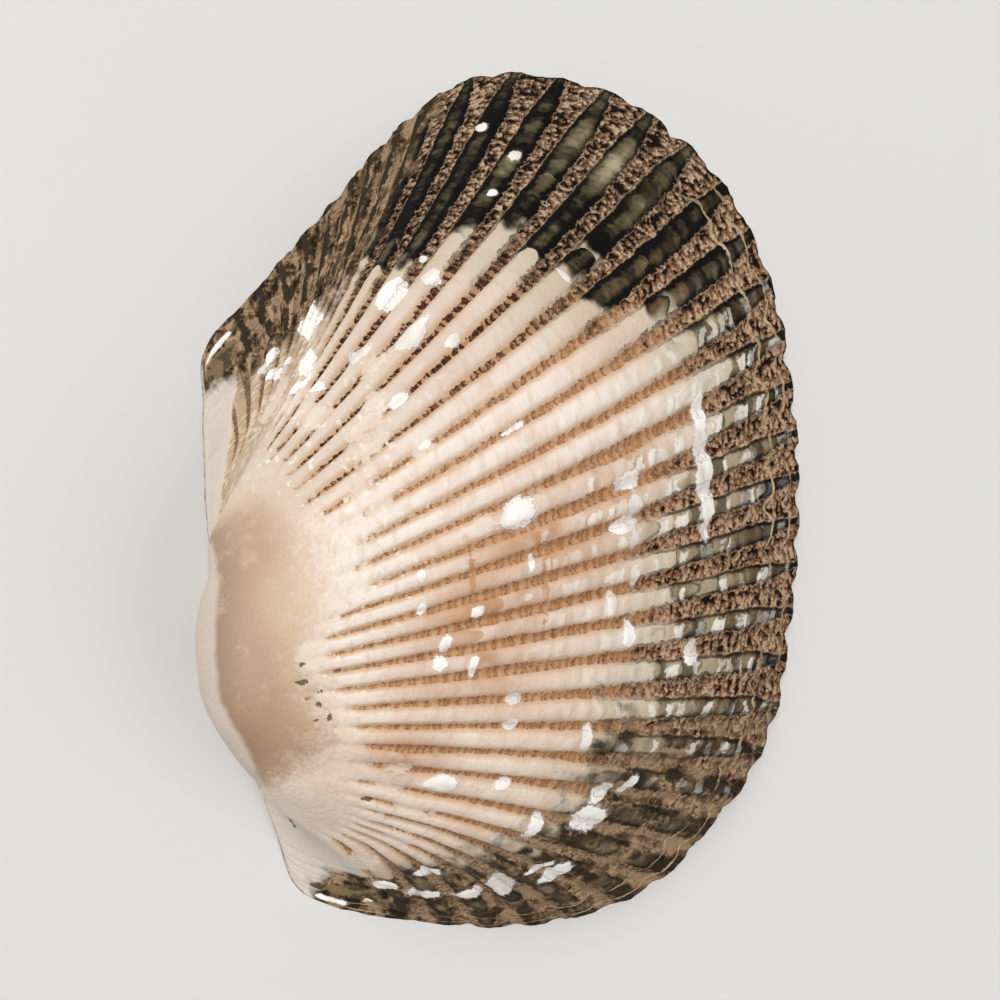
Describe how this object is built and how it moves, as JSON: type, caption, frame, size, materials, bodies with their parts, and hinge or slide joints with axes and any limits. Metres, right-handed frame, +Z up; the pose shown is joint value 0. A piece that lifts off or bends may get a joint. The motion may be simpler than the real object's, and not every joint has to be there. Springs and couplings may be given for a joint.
{
  "type": "ark clam shell",
  "caption": "One valve of an ark clam: a domed, radially ribbed sea shell with a worn umbo, plain ears, a scalloped rim and a hollow underside, for display or still life.",
  "frame": {"origin": "middle of the underside, in the plane of the margin on which the valve lies", "axes": "+X from the beak to the ventral margin, +Y along the hinge to the posterior end, +Z up through the dome"},
  "size_m": [0.036, 0.0498, 0.012],
  "materials": {
    "shell": "worn matte lime shell, pinkish white ribs over brown grooves, tan umbo, dark rough skin along the margin"
  },
  "bodies": {
    "root": {"valve": "shell"}
  },
  "joints": []
}
